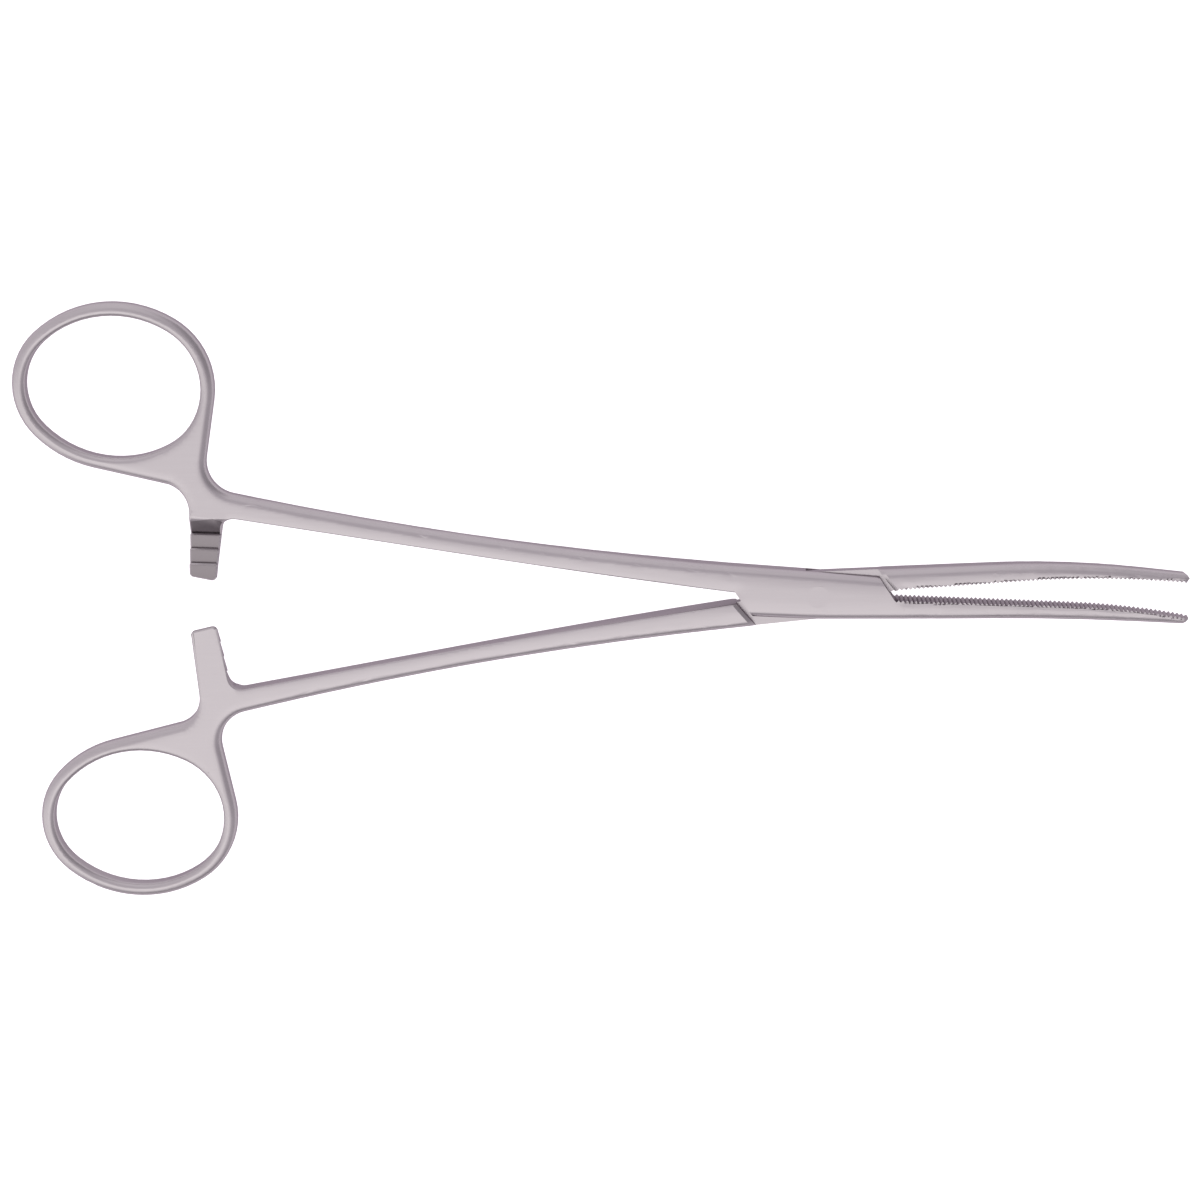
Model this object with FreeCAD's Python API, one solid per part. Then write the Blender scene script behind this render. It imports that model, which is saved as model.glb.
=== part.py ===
# Curved surgical clamp with a box lock, fully serrated jaws and a ratchet, 200 mm long.
# Two one-piece forged halves cross at a flush riveted pin. The halves are drawn in their
# closed position, lying flat: X runs along the clamp to the jaw tips, the pivot is at the
# origin, and the mid-thickness plane is at Z = 0. At the end each half is turned by half
# of the rest opening and lifted, so that the underside of the box lies at Z = 0.
import FreeCAD, Part
import os
from math import atan2, cos, hypot, sin, sqrt, tan

# Opening between the halves as the clamp lies at rest, counted from the tips touching
REST_OPENING_DEG = 5.43

# Finger rings: an egg of four arcs, wider towards the jaws
RING_CENTRE_X = -119.82
RING_CENTRE_Y = 32.19
RING_HALF_LENGTH = 14.85
RING_BACK_RADIUS = 9.9
RING_FRONT_RADIUS = 11.2
RING_SIDE_RADIUS = 17.7
RING_BAND = 2.3
RING_THICKNESS = 3.5
RING_EDGE_RADIUS = 0.85

# Shanks, from the rings to the box
SHANK_OUTER_X = -98.0
SHANK_OUTER_Y = 14.13
SHANK_OUTER_SLOPE = 0.1752
SHANK_OUTER_RADIUS = 676.0
SHANK_INNER_X = -96.0
SHANK_INNER_Y = 9.84
SHANK_WAIST_X = -60.0
SHANK_BEND_X = -40.3
SHANK_BEND_Y = 2.81
SHANK_BEND_RADIUS = 1650.0
SHANK_THICKNESS = 3.3
RING_TAPER_RADIUS = 400.0
WAIST_TAPER_RADIUS = 600.0
SHANK_INNER_EDGE = 0.25
WEB_LEAN = 0.13
WEB_RADIUS = 5.5

# Ratchet arms
ARM_FROM_RING = 12.97
ARM_TOP_X = RING_CENTRE_X + ARM_FROM_RING
ARM_TOP_Y = 14.98
ARM_WEB_RADIUS = 5.0
ARM_WIDTH_AT_SHANK = 5.45
ARM_WIDTH_AT_END = 4.5
ARM_LEAN = 0.49
ARM_END_Y = -1.26
ARM_END_SLANT = 0.8
ARM_END_RADIUS = 0.8
ARM_SHANK_RADIUS = 2.3
RATCHET_TEETH = 3
RATCHET_PITCH = 2.6
RATCHET_FIRST_Y = 7.22
RATCHET_DEPTH = 0.55
RATCHET_CREST = 0.5
RATCHET_RAMP_Y = 10.22
RATCHET_CLEARANCE = 0.05

# Box lock
BOX_THICKNESS = 5.0
BOX_HALF_WIDTH = 4.08
BOX_FLAT_HALF_LENGTH = 17.6
BOX_TAPER_RADIUS = 300.0
BOX_EDGE_SLOPE = 0.0429
BOX_LEFT_X = -14.04
BOX_LEFT_Y = 0.31
BOX_LEFT_CORNER_X = -10.85
BOX_LEFT_CORNER_Y = -3.95
BOX_RIGHT_CORNER_X = 10.2
BOX_RIGHT_CORNER_Y = 3.62
BOX_RIGHT_X = 12.85
BOX_EDGE_BLEND = 80.0
TONGUE_THICKNESS = 1.9
TONGUE_CLEARANCE = 0.04
TONGUE_EDGE_CLEARANCE = 0.12
SLOT_WALL_END_X = 2.2
SHOULDER_GAP = 0.3
RIM_RADIUS = 1.4
ARM_RIM_RADIUS = 0.5

# Pivot pin, peened into shallow countersinks and ground flush
PIN_DIAMETER = 3.0
PIN_CLEARANCE = 0.03
PIN_HEAD_DIAMETER = 3.8
PIN_HEAD_DEPTH = 0.5

# Jaws: the lower one on the box half, the upper one on the tongue half
JAW_TIP_X = 62.6
JAW_TIP_BACK = 0.95
JAW_BLANK_LENGTH = 4.0
JAW_TIP_THICKNESS = 3.0
JAW_NOSE_LENGTH = 0.7
JAW_NOSE_THICKNESS = 1.3
LOWER_HEEL_Y = -0.17
LOWER_BEND_X = 52.2
LOWER_BEND_Y = -0.405
LOWER_BEND_RADIUS = 140.0
LOWER_TIP_Y = -1.88
LOWER_NOSE_Y = -2.23
LOWER_BACK_X = 41.7
LOWER_BACK_Y = -2.7
LOWER_BACK_RADIUS = 495.0
LOWER_BACK_TIP_Y = -3.1
UPPER_HEEL_X = 13.4
UPPER_HEEL_Y = 0.26
UPPER_BEND_X = 47.7
UPPER_BEND_Y = 0.455
UPPER_BEND_RADIUS = 175.0
UPPER_TIP_Y = -1.86
UPPER_TIP_SETBACK = 0.75
UPPER_NOSE_Y = -1.03
UPPER_BACK_X = 42.4
UPPER_BACK_Y = 3.18
UPPER_BACK_RADIUS = 167.0
UPPER_BACK_TIP_Y = -0.1

# Serrations across the mating faces of both jaws
SERRATION_PITCH = 0.74
SERRATION_DEPTH = 0.34

# Construction: widest share of a straight that the arc at its end may take, closeness at
# which edges count as the same, and a reach beyond the whole clamp
ARC_SHARE = 0.98
TOLERANCE = 1e-3
FAR = 200.0


def vec(x, y, z=0.0):
    return FreeCAD.Vector(x, y, z)


def unit(a, b):
    """Direction from point a to point b, of length one."""
    length = hypot(b[0] - a[0], b[1] - a[1])
    return (b[0] - a[0]) / length, (b[1] - a[1]) / length


def along(point, direction, length):
    return point[0] + length * direction[0], point[1] + length * direction[1]


def distance(a, b):
    return hypot(b[0] - a[0], b[1] - a[1])


def line(a, b):
    return Part.LineSegment(vec(*a), vec(*b)).toShape()


def arc_about(centre, start, end):
    """The shorter arc about a centre from start to end."""
    halfway = ((start[0] + end[0]) / 2, (start[1] + end[1]) / 2)
    middle = along(centre, unit(centre, halfway), distance(centre, start))
    return Part.Arc(vec(*start), vec(*middle), vec(*end)).toShape()


def rounded_path(corners):
    """Edges of an open path through (x, y, radius) corners, each rounded by its own arc."""
    edges = []
    last = corners[0][:2]
    for corner, after in zip(corners[1:], corners[2:]):
        point = corner[:2]
        if corner[2] == 0:
            edges.append(line(last, point))
            last = point
            continue
        back, ahead = unit(point, last), unit(point, after[:2])
        cross = back[0] * ahead[1] - back[1] * ahead[0]
        dot = back[0] * ahead[0] + back[1] * ahead[1]
        half = atan2(abs(cross), dot) / 2
        room = min(distance(last, point), distance(point, after[:2])) * ARC_SHARE
        reach = min(corner[2] / tan(half), room)
        start, end = along(point, back, reach), along(point, ahead, reach)
        inward = unit((0, 0), (back[0] + ahead[0], back[1] + ahead[1]))
        centre = along(point, inward, reach / cos(half))
        edges += [line(last, start), arc_about(centre, start, end)]
        last = end
    edges.append(line(last, corners[-1][:2]))
    return edges


def mirrored(corners):
    """The same corners seen from the other side of the X axis."""
    return [(x, -y, radius) for x, y, radius in corners]


def mirrored_edges(edges):
    return [edge.mirror(vec(0, 0), vec(0, 1)) for edge in edges]


def prism(edges, bottom, top):
    """Upright solid on a closed outline."""
    face = Part.Face(Part.Wire(Part.sortEdges(edges)[0]))
    face.translate(vec(0, 0, bottom))
    return face.extrude(vec(0, 0, top - bottom))


def polygon_prism(points, bottom, top):
    return prism([line(a, b) for a, b in zip(points, points[1:] + points[:1])], bottom, top)


def ring_centres():
    """Centres of the four arcs of the ring: back end, front end, upper side, lower side."""
    back = (RING_CENTRE_X - RING_HALF_LENGTH + RING_BACK_RADIUS, RING_CENTRE_Y)
    front = (RING_CENTRE_X + RING_HALF_LENGTH - RING_FRONT_RADIUS, RING_CENTRE_Y)
    gap = front[0] - back[0]
    to_back = RING_SIDE_RADIUS - RING_BACK_RADIUS
    to_front = RING_SIDE_RADIUS - RING_FRONT_RADIUS
    reach = (to_back**2 - to_front**2 + gap**2) / (2 * gap)
    drop = sqrt(to_back**2 - reach**2)
    upper = (back[0] + reach, RING_CENTRE_Y - drop)
    lower = (back[0] + reach, RING_CENTRE_Y + drop)
    return back, front, upper, lower


def ring_joints(growth):
    """Where the arcs of the ring meet, grown outwards: back and front, each upper and lower."""
    back, front, upper, lower = ring_centres()
    return [
        along(end, unit(side, end), radius + growth)
        for end, side, radius in (
            (back, upper, RING_BACK_RADIUS),
            (back, lower, RING_BACK_RADIUS),
            (front, upper, RING_FRONT_RADIUS),
            (front, lower, RING_FRONT_RADIUS),
        )
    ]


def ring_opening_edges():
    back, front, upper, lower = ring_centres()
    back_up, back_down, front_up, front_down = ring_joints(0)
    return [
        arc_about(back, back_up, back_down),
        arc_about(lower, back_down, front_down),
        arc_about(front, front_down, front_up),
        arc_about(upper, front_up, back_up),
    ]


def touch_point(point, centre, radius, side):
    """Where a line from a point touches a circle, on the left or right of the centre."""
    base = atan2(point[1] - centre[1], point[0] - centre[0])
    swing = atan2(sqrt(distance(point, centre) ** 2 - radius**2), radius)
    return centre[0] + radius * cos(base + side * swing), centre[1] + radius * sin(base + side * swing)


def web_corner():
    """Where the front of the ring's web, run on straight, meets the outer line of the shank."""
    front_x = RING_CENTRE_X + RING_HALF_LENGTH + RING_BAND
    rise = SHANK_OUTER_Y - SHANK_OUTER_SLOPE * (front_x - SHANK_OUTER_X) - RING_CENTRE_Y
    step = WEB_LEAN * rise / (1 + WEB_LEAN * SHANK_OUTER_SLOPE)
    x = front_x + step
    return x, SHANK_OUTER_Y - SHANK_OUTER_SLOPE * (x - SHANK_OUTER_X)


def shank_outer_bend():
    """Crossing of the outer line of the shank and the edge line of the box."""
    at_zero = SHANK_OUTER_Y + SHANK_OUTER_SLOPE * SHANK_OUTER_X
    x = (at_zero - BOX_HALF_WIDTH) / (SHANK_OUTER_SLOPE - BOX_EDGE_SLOPE)
    return x, BOX_HALF_WIDTH - BOX_EDGE_SLOPE * x


def arm_shank_corner():
    """Crossing of the arm's jaw-side edge and the inner line of the shank."""
    slope = (SHANK_BEND_Y - SHANK_INNER_Y) / (SHANK_BEND_X - SHANK_INNER_X)
    x = ARM_TOP_X + ARM_WIDTH_AT_SHANK
    return x, SHANK_INNER_Y + slope * (x - SHANK_INNER_X)


def arm_end_corners():
    """The two corners at the end of the arm: the one away from the jaws is set back."""
    left = ARM_TOP_X - ARM_LEAN
    return (left, ARM_END_Y + ARM_END_SLANT), (left + ARM_WIDTH_AT_END, ARM_END_Y)


def handle_outer_edges(box_end):
    """Outer side of a handle: arm, ring and shank, to the given corners on the box."""
    back, front, upper, lower = ring_centres()
    back_up, back_down, front_up, front_down = ring_joints(RING_BAND)
    arm_corner = (ARM_TOP_X, ARM_TOP_Y)
    outer_corner = web_corner()
    side_radius = RING_SIDE_RADIUS + RING_BAND
    front_radius = RING_FRONT_RADIUS + RING_BAND
    arm_touch = touch_point(arm_corner, lower, side_radius, -1)
    web_touch = touch_point(outer_corner, front, front_radius, 1)
    arm_end = arm_end_corners()[0]
    edges = rounded_path([(*arm_end, 0), (*arm_corner, ARM_WEB_RADIUS), (*arm_touch, 0)])
    edges.append(arc_about(lower, arm_touch, back_down))
    edges.append(arc_about(back, back_down, back_up))
    edges.append(arc_about(upper, back_up, front_up))
    edges.append(arc_about(front, front_up, web_touch))
    bend = shank_outer_bend()
    corners = [(*web_touch, 0), (*outer_corner, WEB_RADIUS), (*bend, SHANK_OUTER_RADIUS)]
    return edges + rounded_path(corners + box_end)


def handle_inner_edges(box_end):
    """Inner side of a handle: from the box along the shank to the end of the arm."""
    arm_end, arm_front_end = arm_end_corners()
    corners = [
        (*box_end, 0),
        (SHANK_BEND_X, SHANK_BEND_Y, SHANK_BEND_RADIUS),
        (*arm_shank_corner(), ARM_SHANK_RADIUS),
        (*arm_front_end, 0),
    ]
    return rounded_path(corners), line(arm_front_end, arm_end)


def serrated_edges(corners, root_side):
    """Mating face: crests evenly spaced along the path, with a root between each two."""
    path = Part.Wire(rounded_path(corners))
    gaps = round(path.Length / SERRATION_PITCH)
    crests = [(p.x, p.y) for p in path.discretize(Number=gaps + 1)]
    points = crests[:1]
    for a, b in zip(crests, crests[1:]):
        dx, dy = unit(a, b)
        middle = along(a, (dx, dy), distance(a, b) / 2)
        points += [along(middle, (-root_side * dy, root_side * dx), SERRATION_DEPTH), b]
    return [line(a, b) for a, b in zip(points, points[1:])]


def slab(top):
    """Solid between a line drawn in side view and its mirror image below the mid-plane."""
    upper, lower = rounded_path(top), rounded_path(mirrored(top))
    ends = [line(top[0][:2], (top[0][0], -top[0][1])), line(top[-1][:2], (top[-1][0], -top[-1][1]))]
    face = Part.Face(Part.Wire(Part.sortEdges(upper + lower + ends)[0]))
    face.rotate(vec(0, 0), vec(1, 0), 90)
    face.translate(vec(0, FAR))
    return face.extrude(vec(0, -2 * FAR))


def side_profile():
    """Slab whose faces give the clamp its thickness from the rings to the jaw tips."""
    ring_half, shank_half = RING_THICKNESS / 2, SHANK_THICKNESS / 2
    box_half, tip_half = BOX_THICKNESS / 2, JAW_TIP_THICKNESS / 2
    back_x = RING_CENTRE_X - RING_HALF_LENGTH - 2 * RING_BAND
    return slab([
        (back_x, ring_half, 0),
        (SHANK_OUTER_X, ring_half, RING_TAPER_RADIUS),
        (SHANK_WAIST_X, shank_half, WAIST_TAPER_RADIUS),
        (-BOX_FLAT_HALF_LENGTH, box_half, BOX_TAPER_RADIUS),
        (BOX_FLAT_HALF_LENGTH, box_half, BOX_TAPER_RADIUS),
        (JAW_TIP_X + 2 * JAW_BLANK_LENGTH, tip_half, 0),
    ])


def nose_profile():
    """Slab that narrows to the thickness of the nose at the jaw tips."""
    return slab([
        (-FAR, BOX_THICKNESS, 0),
        (0, BOX_THICKNESS, 0),
        (JAW_TIP_X - JAW_NOSE_LENGTH, JAW_TIP_THICKNESS / 2, JAW_NOSE_LENGTH),
        (JAW_TIP_X + JAW_NOSE_LENGTH, JAW_NOSE_THICKNESS / 2, 0),
    ])


def rim(shape, edges):
    """Upper and lower edges of a solid that run along the given edges of its outline."""
    course = Part.Compound(edges)
    chosen = []
    for edge in shape.Edges:
        middle = edge.valueAt((edge.FirstParameter + edge.LastParameter) / 2)
        ends = [vertex.Point for vertex in edge.Vertexes]
        upright = len(ends) == 2 and hypot(ends[0].x - ends[1].x, ends[0].y - ends[1].y) < TOLERANCE
        inside = abs(middle.z) < TONGUE_THICKNESS / 2 + TOLERANCE
        if upright or inside:
            continue
        if course.distToShape(Part.Vertex(middle.x, middle.y, 0))[0] < TOLERANCE:
            chosen.append(edge)
    return chosen


def rim_radius(point):
    """Radius of the outer rims at a place: small on the ratchet arms, full elsewhere."""
    on_arm = point.x < SHANK_OUTER_X and abs(point.y) < ARM_TOP_Y - ARM_WEB_RADIUS / 2
    return ARM_RIM_RADIUS if on_arm else RIM_RADIUS


def rounded_rims(body, edges):
    """The body with its rims along the given edges rounded by the radius of each place."""
    document = FreeCAD.newDocument()
    base = document.addObject("Part::Feature", "Base")
    base.Shape = body
    fillet = document.addObject("Part::Fillet", "Rims")
    fillet.Base = base
    chosen = rim(body, edges)
    table = []
    for number, edge in enumerate(base.Shape.Edges, 1):
        if any(edge.isSame(other) for other in chosen):
            ends = [rim_radius(vertex.Point) for vertex in edge.Vertexes]
            table.append((number, ends[0], ends[-1]))
    fillet.Edges = table
    document.recompute()
    shape = fillet.Shape.copy()
    FreeCAD.closeDocument(document.Name)
    return shape.Solids[0]


def forging(sharp, outer, back, opening, jaw_end):
    """One-piece blank from its outline: rims rounded, jaw ended and finger ring opened."""
    body = prism(sharp + outer + back, -BOX_THICKNESS, BOX_THICKNESS).common(side_profile()).Solids[0]
    body = rounded_rims(body, outer)
    body = body.makeFillet(RIM_RADIUS, rim(body, back))
    body = body.cut(jaw_end).common(nose_profile())
    body = body.cut(prism(opening, -BOX_THICKNESS, BOX_THICKNESS)).Solids[0]
    return body.makeFillet(RING_EDGE_RADIUS, rim(body, opening))


def ratchet_cutter():
    """What is cut from the top of the box half's arm: a ramp, then teeth that hold upwards."""
    crest_z = -RATCHET_CLEARANCE
    root_z = crest_z - RATCHET_DEPTH
    above = BOX_THICKNESS
    fall = RATCHET_DEPTH / (RATCHET_PITCH - RATCHET_CREST)
    points = [(RATCHET_RAMP_Y, above), (RATCHET_RAMP_Y, RING_THICKNESS / 2)]
    for tooth in range(RATCHET_TEETH):
        face_y = RATCHET_FIRST_Y - tooth * RATCHET_PITCH
        points += [(face_y, root_z), (face_y, crest_z), (face_y - RATCHET_CREST, crest_z)]
    beyond = ARM_END_Y - RATCHET_PITCH
    points += [(beyond, crest_z - fall * (face_y - RATCHET_CREST - beyond)), (beyond, above)]
    wire = Part.makePolygon([vec(0, y, z) for y, z in points + points[:1]])
    cutter = Part.Face(wire).extrude(vec(2 * ARM_WIDTH_AT_SHANK, 0))
    cutter.translate(vec(ARM_TOP_X - ARM_WIDTH_AT_SHANK + ARM_SHANK_RADIUS / 2, 0))
    return cutter


def arm_end_cutter():
    """What rounds the two corners at the end of the box half's arm."""
    left, right = arm_end_corners()
    top_left, top_right = (ARM_TOP_X, ARM_TOP_Y), arm_shank_corner()
    rounded = [(*left, ARM_END_RADIUS), (*right, ARM_END_RADIUS)]
    kept = rounded_path([(*top_left, 0)] + rounded + [(*top_right, 0)])
    kept.append(line(top_right, top_left))
    rise = left[1] + 2 * ARM_END_RADIUS
    low = ARM_END_Y - ARM_WIDTH_AT_SHANK
    outer_x = left[0] - ARM_WIDTH_AT_SHANK
    inner_x = right[0] + ARM_WIDTH_AT_SHANK
    corners = [(outer_x, rise), (outer_x, low), (inner_x, low), (inner_x, rise)]
    around = polygon_prism(corners, -BOX_THICKNESS, BOX_THICKNESS)
    return around.cut(prism(kept, -2 * BOX_THICKNESS, 2 * BOX_THICKNESS))


def pin():
    """Riveted pin whose peened heads fill the countersinks of the box."""
    half, radius, head = BOX_THICKNESS / 2, PIN_DIAMETER / 2, PIN_HEAD_DIAMETER / 2
    neck = half - PIN_HEAD_DEPTH
    points = [(0, -half), (head, -half), (radius, -neck), (radius, neck), (head, half), (0, half)]
    wire = Part.makePolygon([vec(x, 0, z) for x, z in points + points[:1]])
    return Part.Face(wire).revolve(vec(0, 0), vec(0, 0, 1), 360)


def slot():
    """Opening through the box for the tongue, bounded by the two walls that stop its travel."""
    wall = unit((BOX_LEFT_X, BOX_LEFT_Y), (-SLOT_WALL_END_X, BOX_HALF_WIDTH))
    left = along((BOX_LEFT_X, BOX_LEFT_Y), wall, -BOX_HALF_WIDTH)
    right = along((BOX_RIGHT_X, LOWER_HEEL_Y), wall, BOX_HALF_WIDTH)
    high, low = 3 * BOX_HALF_WIDTH, -3 * BOX_HALF_WIDTH
    points = [
        (left[0], low), left, (-SLOT_WALL_END_X, BOX_HALF_WIDTH), (-SLOT_WALL_END_X, high),
        (right[0], high), right, (SLOT_WALL_END_X, -BOX_HALF_WIDTH), (SLOT_WALL_END_X, low),
    ]
    half = TONGUE_THICKNESS / 2 + TONGUE_CLEARANCE
    return polygon_prism(points, -half, half)


def shoulder_cutter():
    """What is taken from above and below the tongue, between the shoulders of the tongue half."""
    left = (BOX_LEFT_X, BOX_LEFT_Y), (BOX_LEFT_CORNER_X, BOX_LEFT_CORNER_Y)
    right = (BOX_RIGHT_X, LOWER_HEEL_Y), (BOX_RIGHT_CORNER_X, BOX_RIGHT_CORNER_Y)
    points = []
    for start, end in (left, right):
        run = unit(start, end)
        away = (run[1], -run[0])
        points.append(along(along(start, away, SHOULDER_GAP), run, -2 * BOX_HALF_WIDTH))
        points.append(along(along(end, away, SHOULDER_GAP), run, 2 * BOX_HALF_WIDTH))
    half = TONGUE_THICKNESS / 2
    upper = polygon_prism(points, half, BOX_THICKNESS)
    lower = polygon_prism(points, -BOX_THICKNESS, -half)
    return Part.Compound([upper, lower])


def jaw_blank_end(tip, bend, back_tip):
    """The blank of a jaw runs on past its tip: its end edges and the new end of its back."""
    back_end = along(back_tip, unit(bend, back_tip), JAW_BLANK_LENGTH)
    mating_end = (back_end[0], tip[1])
    return [line(tip, mating_end), line(mating_end, back_end)], back_end


def jaw_end_cutter(mating, nose, back_tip):
    """What is cut from the blank of a jaw: its end slants from the nose to both faces."""
    below = along(mating, unit(nose, mating), JAW_BLANK_LENGTH)
    beyond = along(back_tip, unit(nose, back_tip), JAW_BLANK_LENGTH)
    far_x = nose[0] + 2 * JAW_BLANK_LENGTH
    points = [below, nose, beyond, (far_x, beyond[1]), (far_x, below[1])]
    return polygon_prism(points, -BOX_THICKNESS, BOX_THICKNESS)


def box_half():
    """Upper ring, shank and arm, the box, and the lower jaw."""
    box_left, box_left_corner = (BOX_LEFT_X, BOX_LEFT_Y), (BOX_LEFT_CORNER_X, BOX_LEFT_CORNER_Y)
    box_right_corner, heel = (BOX_RIGHT_CORNER_X, BOX_RIGHT_CORNER_Y), (BOX_RIGHT_X, LOWER_HEEL_Y)
    tip, nose = (JAW_TIP_X, LOWER_TIP_Y), (JAW_TIP_X, LOWER_NOSE_Y)
    bend, back_tip = (LOWER_BACK_X, LOWER_BACK_Y), (JAW_TIP_X - JAW_TIP_BACK, LOWER_BACK_TIP_Y)
    outer = handle_outer_edges([(0, BOX_HALF_WIDTH, BOX_EDGE_BLEND), (*box_right_corner, 0)])
    inner, arm_end = handle_inner_edges(box_left)
    mating = serrated_edges([(*heel, 0), (LOWER_BEND_X, LOWER_BEND_Y, LOWER_BEND_RADIUS), (*tip, 0)], -1)
    end_edges, back_end = jaw_blank_end(tip, bend, back_tip)
    back = rounded_path([
        (*back_end, 0),
        (*bend, LOWER_BACK_RADIUS),
        (0, -BOX_HALF_WIDTH, BOX_EDGE_BLEND),
        (*box_left_corner, 0),
    ])
    sharp = inner + mating + end_edges + [arm_end]
    sharp += [line(box_right_corner, heel), line(box_left_corner, box_left)]
    body = forging(sharp, outer, back, ring_opening_edges(), jaw_end_cutter(tip, nose, back_tip))
    body = body.makeFillet(SHANK_INNER_EDGE, rim(body, inner))
    for cutter in (arm_end_cutter(), ratchet_cutter(), slot(), pin()):
        body = body.cut(cutter)
    return body.Solids[0]


def tongue_half():
    """Lower ring, shank and arm, the tongue through the box, and the upper jaw."""
    gap = TONGUE_EDGE_CLEARANCE
    heel, tip = (UPPER_HEEL_X, UPPER_HEEL_Y), (JAW_TIP_X, UPPER_TIP_Y)
    mating_tip, nose = (JAW_TIP_X - UPPER_TIP_SETBACK, UPPER_TIP_Y), (JAW_TIP_X, UPPER_NOSE_Y)
    bend, back_tip = (UPPER_BACK_X, UPPER_BACK_Y), (JAW_TIP_X - JAW_TIP_BACK, UPPER_BACK_TIP_Y)
    handle_corner = (SLOT_WALL_END_X - gap, -BOX_HALF_WIDTH)
    jaw_corner = (-SLOT_WALL_END_X + gap, BOX_HALF_WIDTH)
    shank_end = (BOX_LEFT_X + 2 * SHOULDER_GAP, -BOX_LEFT_Y)
    outer = mirrored_edges(handle_outer_edges([(0, BOX_HALF_WIDTH, BOX_EDGE_BLEND),
                                               (handle_corner[0], -handle_corner[1], 0)]))
    inner, arm_end = handle_inner_edges((shank_end[0], -shank_end[1]))
    inner, arm_end = mirrored_edges(inner), mirrored_edges([arm_end])
    mating = serrated_edges([(*heel, 0), (UPPER_BEND_X, UPPER_BEND_Y, UPPER_BEND_RADIUS), (*tip, 0)], 1)
    end_edges, back_end = jaw_blank_end(tip, bend, back_tip)
    back = rounded_path([
        (*back_end, 0),
        (*bend, UPPER_BACK_RADIUS),
        (0, BOX_HALF_WIDTH, BOX_EDGE_BLEND),
        (*jaw_corner, 0),
    ])
    sharp = inner + mating + end_edges + arm_end
    sharp += [line(jaw_corner, shank_end), line(handle_corner, heel)]
    opening = mirrored_edges(ring_opening_edges())
    body = forging(sharp, outer, back, opening, jaw_end_cutter(mating_tip, nose, back_tip))
    body = body.cut(shoulder_cutter()).Solids[0]
    body = body.makeFillet(SHANK_INNER_EDGE, rim(body, inner))
    bore = Part.makeCylinder(PIN_DIAMETER / 2 + PIN_CLEARANCE, 2 * BOX_THICKNESS, vec(0, 0, -BOX_THICKNESS))
    for cutter in (arm_end_cutter(), ratchet_cutter()):
        cutter.rotate(vec(0, 0), vec(1, 0), 180)
        body = body.cut(cutter)
    return body.cut(bore).Solids[0]


def main():
    os.makedirs("parts", exist_ok=True)
    nodes = {
        "box_half": (box_half(), -REST_OPENING_DEG / 2),
        "tongue_half": (tongue_half(), REST_OPENING_DEG / 2),
        "pivot_pin": (pin(), 0),
    }
    for name, (shape, turn) in nodes.items():
        shape.rotate(vec(0, 0), vec(0, 0, 1), turn)
        shape.translate(vec(0, 0, BOX_THICKNESS / 2))
        shape.exportStep(f"parts/{name}.step")


main()
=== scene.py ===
# Curved surgical clamp, lying open on a pale table and seen from above the box side.
import bpy
import bmesh
from math import cos, radians
from mathutils import Matrix, Vector
from mathutils.bvhtree import BVHTree


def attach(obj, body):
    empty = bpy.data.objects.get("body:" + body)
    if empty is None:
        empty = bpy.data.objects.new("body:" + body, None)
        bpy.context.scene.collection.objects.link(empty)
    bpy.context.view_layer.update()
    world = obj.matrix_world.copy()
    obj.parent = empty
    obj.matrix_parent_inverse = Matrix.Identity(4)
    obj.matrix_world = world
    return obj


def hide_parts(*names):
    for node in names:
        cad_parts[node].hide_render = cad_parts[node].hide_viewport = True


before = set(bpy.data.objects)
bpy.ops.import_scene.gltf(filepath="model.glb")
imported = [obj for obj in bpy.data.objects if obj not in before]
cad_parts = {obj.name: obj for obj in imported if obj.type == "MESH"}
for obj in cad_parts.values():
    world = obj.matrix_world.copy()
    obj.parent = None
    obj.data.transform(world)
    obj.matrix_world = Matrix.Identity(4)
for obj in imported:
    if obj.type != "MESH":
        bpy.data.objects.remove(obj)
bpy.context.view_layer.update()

# The camera: a long lens half a metre above the clamp, leaning back over the ring of the
# box half, and turned by the small roll that the clamp has in the picture.
camera_data = bpy.data.cameras.new("camera")
camera_data.lens = 90.0
camera_data.sensor_width = 36.0
camera_data.clip_start = 0.01
camera = bpy.data.objects.new("camera", camera_data)
bpy.context.scene.collection.objects.link(camera)
camera_place = Vector((-0.01674, 0.11655, 0.49967))
camera_target = Vector((-0.03703, -0.00048, 0.0025))
camera_top = Vector((0.0155, 0.9731, -0.2297))
camera_back = (camera_place - camera_target).normalized()
camera_right = camera_top.cross(camera_back).normalized()
camera_up = camera_back.cross(camera_right)
camera.matrix_world = Matrix((
    (camera_right.x, camera_up.x, camera_back.x, camera_place.x),
    (camera_right.y, camera_up.y, camera_back.y, camera_place.y),
    (camera_right.z, camera_up.z, camera_back.z, camera_place.z),
    (0, 0, 0, 1),
))
bpy.context.scene.camera = camera
bpy.context.scene.view_settings.view_transform = "Standard"

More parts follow.
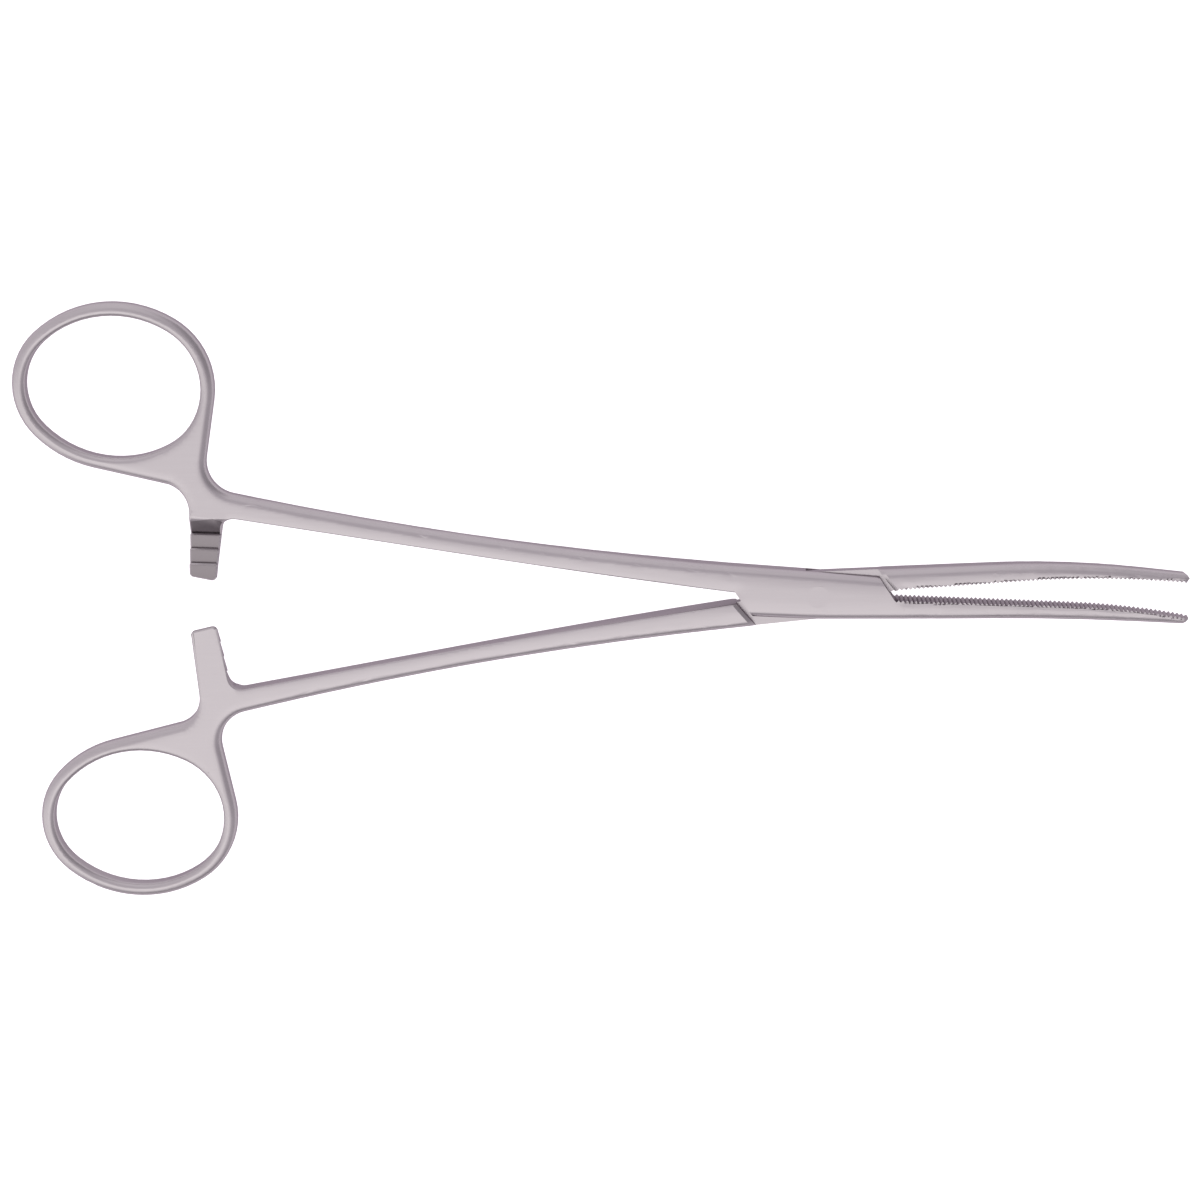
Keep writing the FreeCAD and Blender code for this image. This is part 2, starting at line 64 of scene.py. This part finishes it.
# The table: a plain white sheet under the clamp. It glows evenly, and more brightly to the
# camera than to the steel that mirrors it, so that every shadow on it is lost, as in the
# picture.
CAMERA_GLOW = 0.4
STEADY_GLOW = 0.75
bpy.ops.mesh.primitive_plane_add(size=8.0, location=(0, 0, 0))
table = bpy.context.object
table.name = "table"
table_paint = bpy.data.materials.new("white_table")
table_paint.use_nodes = True
table_shader = table_paint.node_tree.nodes["Principled BSDF"]
table_shader.inputs["Base Color"].default_value = (0.35, 0.335, 0.35, 1)
table_shader.inputs["Emission Color"].default_value = (1.0, 0.96, 1.0, 1)
seen_by = table_paint.node_tree.nodes.new("ShaderNodeLightPath")
glow = table_paint.node_tree.nodes.new("ShaderNodeMath")
glow.operation = "MULTIPLY_ADD"
glow.inputs[1].default_value = CAMERA_GLOW
glow.inputs[2].default_value = STEADY_GLOW
table_paint.node_tree.links.new(seen_by.outputs["Is Camera Ray"], glow.inputs[0])
table_paint.node_tree.links.new(glow.outputs["Value"], table_shader.inputs["Emission Strength"])
table_shader.inputs["Roughness"].default_value = 0.95
table_shader.inputs["Specular IOR Level"].default_value = 0.1
table.data.materials.append(table_paint)

# The studio: soft pale walls all round, the only light. They are dimmer on the camera's side,
# on the right and low in front, a little dimmer on the left, and there is a dim patch where
# the camera and its stand are.
room = bpy.data.worlds.new("studio")
room.use_nodes = True
bpy.context.scene.world = room
nodes, links = room.node_tree.nodes, room.node_tree.links
backdrop = nodes["Background"]
direction = nodes.new("ShaderNodeTexCoord")
brightness = None
for facing, dark_from, dark_to, full, dim in (
    ((0.0, 1.0, 0.0), -0.30, 0.20, 1.70, 1.17),
    ((1.0, 0.0, 0.0), 0.05, 0.60, 1.0, 0.42),
    ((0.0, -1.0, 0.0), 0.65, 0.95, 1.0, 0.30),
    ((-1.0, 0.0, 0.0), 0.10, 0.60, 1.0, 0.85),
    (tuple(camera_back), cos(radians(30)), cos(radians(5)), 1.0, 0.72),
):
    toward = nodes.new("ShaderNodeVectorMath")
    toward.operation = "DOT_PRODUCT"
    toward.inputs[1].default_value = facing
    links.new(direction.outputs["Generated"], toward.inputs[0])
    fade = nodes.new("ShaderNodeMapRange")
    fade.interpolation_type = "SMOOTHSTEP"
    fade.inputs["From Min"].default_value = dark_from
    fade.inputs["From Max"].default_value = dark_to
    fade.inputs["To Min"].default_value = full
    fade.inputs["To Max"].default_value = dim
    links.new(toward.outputs["Value"], fade.inputs["Value"])
    if brightness is None:
        brightness = fade.outputs["Result"]
    else:
        both = nodes.new("ShaderNodeMath")
        both.operation = "MULTIPLY"
        links.new(brightness, both.inputs[0])
        links.new(fade.outputs["Result"], both.inputs[1])
        brightness = both.outputs["Value"]
links.new(brightness, backdrop.inputs["Strength"])
warmth = nodes.new("ShaderNodeMapRange")
warmth.inputs["From Min"].default_value = 0.75
warmth.inputs["From Max"].default_value = 1.5
links.new(brightness, warmth.inputs["Value"])
wall_colour = nodes.new("ShaderNodeMix")
wall_colour.data_type = "RGBA"
wall_colour.inputs["A"].default_value = (1.0, 0.945, 1.01, 1)
wall_colour.inputs["B"].default_value = (1.0, 0.985, 0.98, 1)
links.new(warmth.outputs["Result"], wall_colour.inputs["Factor"])
links.new(wall_colour.outputs["Result"], backdrop.inputs["Color"])

# The box half: one stainless steel forging with the ring, shank and ratchet arm on one side
# and the lower jaw on the other. Its faces are ground along their length and then glass
# beaded to a satin finish, which leaves them very slightly crowned towards their rims.
MERGE_DISTANCE = 1e-6
FLAT_MERGE_ANGLE = radians(0.5)
BOX_MIDDLE_Z = 0.0025
BOX_END_X = 0.022
BOX_CROWN_FADE = 0.01
ARM_FROM_X = -0.1
ARM_TO_Y = 0.0165
CROWN_WIDE = 0.0022
CROWN_NARROW = 0.0009
CROWN_SLOPE = 0.09
JAW_CROWN_SLOPE = 0.10
SHARP_TO_X = -0.0155
SHARP_BEVEL = 0.00022
JAW_FROM_X = 0.0145
FLAT_NORMAL_Z = 0.99
WALL_NORMAL_Z = 0.12
GRID_STEP_X = 0.0007
GRID_STEP_Y = 0.00035
CORE_HALF = 0.001
CROWN_FROM = 0.0006
SHARP_ANGLE = radians(32)
PIN_CLEAR = 0.003
CUT_HALF = 0.0015
TOOTH_EDGE_ANGLE = radians(30)
TOOTH_EDGE_BEVEL = 0.00024
CHAMFER_WIDTH = 0.0006
CHAMFER_DROP = 0.00045
SHOULDER_HALF = 0.0035
NOTCH_DROP = 0.00024
NOTCH_DEEPER_THAN = 0.00005


def cut_grid(shape, faces, axis, lines):
    """Cuts flat faces along a row of lines across one axis, from the middle line outwards."""
    if not lines or not faces:
        return
    middle = len(lines) // 2
    at = lines[middle]
    crossed, sides = set(), ([], [])
    for face in faces:
        across = [v.co[axis] for v in face.verts]
        if min(across) < at < max(across):
            crossed.add(face)
        else:
            sides[face.calc_center_median()[axis] > at].append(face)
    if crossed:
        normal = Vector((1 - axis, axis, 0))
        parts = set(crossed)
        for face in crossed:
            parts.update(face.edges)
            parts.update(face.verts)
        cut = bmesh.ops.bisect_plane(shape, geom=list(parts), plane_co=normal * at,
                                     plane_no=normal)
        crossed.update(part for part in cut["geom"] if isinstance(part, bmesh.types.BMFace))
        for face in crossed:
            sides[face.calc_center_median()[axis] > at].append(face)
    cut_grid(shape, sides[0], axis, lines[:middle])
    cut_grid(shape, sides[1], axis, lines[middle + 1:])


def crowned_copy(node, milled, shoulders):
    """A merged copy of a forging with crowned faces, chamfered shoulders and blunt teeth;
    milled(point) tells its cut teeth, and each shoulder is a point on it and its way out."""
    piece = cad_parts[node]
    shape = bmesh.new()
    shape.from_mesh(piece.data)
    bmesh.ops.remove_doubles(shape, verts=shape.verts, dist=MERGE_DISTANCE)
    bmesh.ops.dissolve_limit(shape, angle_limit=FLAT_MERGE_ANGLE, use_dissolve_boundaries=False,
                             verts=shape.verts, edges=shape.edges, delimit=set())
    sharp = []
    for edge in shape.edges:
        tilts = sorted(abs(face.normal.z) for face in edge.link_faces)
        middle = (edge.verts[0].co + edge.verts[1].co) / 2
        if (middle.x < SHARP_TO_X and tilts[0] < WALL_NORMAL_Z and tilts[-1] > FLAT_NORMAL_Z
                and abs(middle.z - BOX_MIDDLE_Z) > (CUT_HALF if milled(middle) else CORE_HALF)):
            sharp.append(edge)
    bmesh.ops.bevel(shape, geom=sharp, offset=SHARP_BEVEL, offset_type="OFFSET", segments=2,
                    profile=0.5, affect="EDGES", clamp_overlap=False)
    shape.normal_update()
    crests = [edge for edge in shape.edges
              if len(edge.link_faces) == 2 and all(milled(v.co) for v in edge.verts)
              and edge.calc_face_angle_signed() > TOOTH_EDGE_ANGLE]
    for face in shape.faces:
        face.material_index = 0
    blunt = bmesh.ops.bevel(shape, geom=crests, offset=TOOTH_EDGE_BEVEL, offset_type="OFFSET",
                            segments=1, profile=0.5, affect="EDGES", clamp_overlap=False)
    for face in blunt["faces"]:
        face.material_index = 1
    for shoulder, outward in shoulders:
        bmesh.ops.bisect_plane(shape, geom=shape.verts[:] + shape.edges[:] + shape.faces[:],
                               plane_co=shoulder - outward * CHAMFER_WIDTH, plane_no=outward)
    shape.normal_update()
    notches = set()
    for vertex in shape.verts:
        if vertex.co.x > JAW_FROM_X and abs(vertex.co.z - BOX_MIDDLE_Z) > CORE_HALF:
            walls = [face for face in vertex.link_faces if abs(face.normal.z) < WALL_NORMAL_Z]
            beside = [edge.other_vert(vertex).co for edge in vertex.link_edges
                      if any(face in walls for face in edge.link_faces)
                      and any(abs(face.normal.z) > FLAT_NORMAL_Z for face in edge.link_faces)]
            if len(walls) == 2 and len(beside) == 2:
                outward = walls[0].normal + walls[1].normal
                if outward.dot((beside[0] + beside[1]) / 2 - vertex.co) > NOTCH_DEEPER_THAN:
                    notches.add(vertex)
    shape.verts.index_update()
    rims = [face for face in shape.faces
            if abs(face.normal.z) < FLAT_NORMAL_Z
            and (abs(face.normal.z) > WALL_NORMAL_Z or face.calc_center_median().x > JAW_FROM_X)
            and face.calc_center_median().xy.length > PIN_CLEAR
            and not milled(face.calc_center_median())]
    places = [vertex.co.copy() for vertex in shape.verts]
    rim_tree = BVHTree.FromPolygons(places, [[v.index for v in face.verts] for face in rims])
    bmesh.ops.triangulate(shape, faces=shape.faces)
    for axis, step in ((0, GRID_STEP_X), (1, GRID_STEP_Y)):
        low = min(place[axis] for place in places)
        high = max(place[axis] for place in places)
        flats = [face for face in shape.faces if abs(face.normal.z) > FLAT_NORMAL_Z]
        steps = range(1, int((high - low) / step) + 1)
        cut_grid(shape, flats, axis, [low + count * step for count in steps])
    for vertex in shape.verts:
        height = vertex.co.z - BOX_MIDDLE_Z
        outer = min(1.0, (abs(height) - CORE_HALF) / CROWN_FROM)
        if outer > 0 and not milled(vertex.co):
            gap = rim_tree.find_nearest(vertex.co)[3]
            boxness = min(1.0, max(0.0, (BOX_END_X - abs(vertex.co.x)) / BOX_CROWN_FADE))
            reach = CROWN_NARROW + (CROWN_WIDE - CROWN_NARROW) * boxness
            slope = JAW_CROWN_SLOPE if vertex.co.x > JAW_FROM_X else CROWN_SLOPE
            near = max(0.0, 1.0 - gap / reach)
            drop = slope / 2 * reach * near * near + (NOTCH_DROP if vertex in notches else 0.0)
            for shoulder, outward in shoulders:
                if (vertex.co - shoulder).xy.length < SHOULDER_HALF:
                    past = (vertex.co - shoulder).dot(outward) / CHAMFER_WIDTH + 1.0
                    drop += CHAMFER_DROP * max(0.0, past)
            vertex.co.z -= outer * (drop if height > 0 else -drop)
    bmesh.ops.triangulate(shape, faces=shape.faces)
    shape.verts.index_update()
    mesh = bpy.data.meshes.new(node + "_finished")
    mesh.from_pydata([vertex.co for vertex in shape.verts], [],
                     [[vertex.index for vertex in face.verts] for face in shape.faces])
    blunted = [face.material_index for face in shape.faces]
    shape.free()
    mesh.polygons.foreach_set("use_smooth", [True] * len(mesh.polygons))
    mesh.set_sharp_from_angle(angle=SHARP_ANGLE)
    # The tooth slopes and roots in the cut take the second material, but the blunted crests and
    # the upright walls do not. Its darker colour is painted shade of the recess between the
    # teeth, on top of the rougher milled finish.
    for polygon, on_crest in zip(mesh.polygons, blunted):
        cut_depth = abs(polygon.center.z - BOX_MIDDLE_Z)
        if (milled(polygon.center) and not on_crest
                and cut_depth < CUT_HALF and abs(polygon.normal.z) > WALL_NORMAL_Z):
            polygon.material_index = 1
    finished = bpy.data.objects.new(node + "_finished", mesh)
    bpy.context.scene.collection.objects.link(finished)
    return finished


def box_teeth(point):
    return point.x < ARM_FROM_X and point.y < ARM_TO_Y


box_forging = crowned_copy("box_half", box_teeth, ())

finish = bpy.data.node_groups.new("ground_finish", "ShaderNodeTree")
for name in ("Grain Scale", "Grain Stretch", "Cloud Scale"):
    finish.interface.new_socket(name, in_out="INPUT", socket_type="NodeSocketFloat")
for name in ("Grain", "Cloud"):
    finish.interface.new_socket(name, in_out="OUTPUT", socket_type="NodeSocketFloat")
nodes, links = finish.nodes, finish.links
given = nodes.new("NodeGroupInput")
made = nodes.new("NodeGroupOutput")
place = nodes.new("ShaderNodeTexCoord")
squeeze = nodes.new("ShaderNodeMath")
squeeze.operation = "DIVIDE"
squeeze.inputs[0].default_value = 1.0
links.new(given.outputs["Grain Stretch"], squeeze.inputs[1])
stretch = nodes.new("ShaderNodeCombineXYZ")
stretch.inputs["Y"].default_value = 1.0
stretch.inputs["Z"].default_value = 1.0
links.new(squeeze.outputs["Value"], stretch.inputs["X"])
along = nodes.new("ShaderNodeVectorMath")
along.operation = "MULTIPLY"
links.new(place.outputs["Object"], along.inputs[0])
links.new(stretch.outputs["Vector"], along.inputs[1])
grain = nodes.new("ShaderNodeTexNoise")
grain.inputs["Detail"].default_value = 3.0
links.new(along.outputs["Vector"], grain.inputs["Vector"])
links.new(given.outputs["Grain Scale"], grain.inputs["Scale"])
links.new(grain.outputs["Fac"], made.inputs["Grain"])
cloud = nodes.new("ShaderNodeTexNoise")
cloud.inputs["Detail"].default_value = 4.0
links.new(place.outputs["Object"], cloud.inputs["Vector"])
links.new(given.outputs["Cloud Scale"], cloud.inputs["Scale"])
streaks = nodes.new("ShaderNodeMix")
streaks.inputs["Factor"].default_value = 0.5
links.new(cloud.outputs["Fac"], streaks.inputs["A"])
links.new(grain.outputs["Fac"], streaks.inputs["B"])
links.new(streaks.outputs["Result"], made.inputs["Cloud"])


def steel_material(name, dark, light, smooth, rough, bump,
                   grain_scale, grain_stretch, cloud_scale):
    """A steel surface: two colours and two degrees of gloss mixed in clouds, and fine grain."""
    material = bpy.data.materials.new(name)
    material.use_nodes = True
    nodes, links = material.node_tree.nodes, material.node_tree.links
    shader = nodes["Principled BSDF"]
    shader.inputs["Metallic"].default_value = 1.0
    shader.inputs["Specular Tint"].default_value = (0.5, 0.45, 0.5, 1)
    surface = nodes.new("ShaderNodeGroup")
    surface.node_tree = finish
    surface.inputs["Grain Scale"].default_value = grain_scale
    surface.inputs["Grain Stretch"].default_value = grain_stretch
    surface.inputs["Cloud Scale"].default_value = cloud_scale
    colour = nodes.new("ShaderNodeMix")
    colour.data_type = "RGBA"
    colour.inputs["A"].default_value = (*dark, 1)
    colour.inputs["B"].default_value = (*light, 1)
    links.new(surface.outputs["Cloud"], colour.inputs["Factor"])
    links.new(colour.outputs["Result"], shader.inputs["Base Color"])
    sheen = nodes.new("ShaderNodeMapRange")
    sheen.inputs["To Min"].default_value = smooth
    sheen.inputs["To Max"].default_value = rough
    links.new(surface.outputs["Cloud"], sheen.inputs["Value"])
    links.new(sheen.outputs["Result"], shader.inputs["Roughness"])
    relief = nodes.new("ShaderNodeBump")
    relief.inputs["Strength"].default_value = 1.0
    relief.inputs["Distance"].default_value = bump
    links.new(surface.outputs["Grain"], relief.inputs["Height"])
    links.new(relief.outputs["Normal"], shader.inputs["Normal"])
    return material


satin_steel = steel_material("satin_steel",
                             dark=(0.385, 0.355, 0.372), light=(0.455, 0.426, 0.441),
                             smooth=0.26, rough=0.38, bump=0.000004,
                             grain_scale=2200.0, grain_stretch=18.0, cloud_scale=60.0)
# The ratchet teeth's steel is rougher and grained across, as milled. Its much darker colour is
# painted shade of the recess that the teeth lie in.
milled_steel_painted_shade = steel_material("milled_steel_painted_shade",
                              dark=(0.19, 0.170, 0.181), light=(0.245, 0.222, 0.233),
                              smooth=0.30, rough=0.42, bump=0.000006,
                              grain_scale=1500.0, grain_stretch=0.2, cloud_scale=120.0)
box_forging.data.materials.append(satin_steel)
box_forging.data.materials.append(milled_steel_painted_shade)
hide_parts("box_half")
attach(box_forging, "box_side")

# The tongue half: the second forging, whose thin tongue passes through the box. It carries
# the other ring, shank and arm, and the upper jaw.


def tongue_teeth(point):
    return point.x < ARM_FROM_X and point.y > -ARM_TO_Y


tongue_shoulders = (
    (Vector((0.01213, 0.00185, 0)), Vector((-0.79, -0.613, 0))),
    (Vector((-0.01267, -0.00249, 0)), Vector((0.77, 0.638, 0))),
)
tongue_forging = crowned_copy("tongue_half", tongue_teeth, tongue_shoulders)
tongue_forging.data.materials.append(satin_steel)
tongue_forging.data.materials.append(milled_steel_painted_shade)
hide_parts("tongue_half")
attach(tongue_forging, "tongue_side")

# The pivot pin: a steel rivet through the box and the tongue, peened over into shallow
# countersinks and ground flush with the box on both sides.
for pin_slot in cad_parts["pivot_pin"].material_slots:
    pin_slot.material = satin_steel
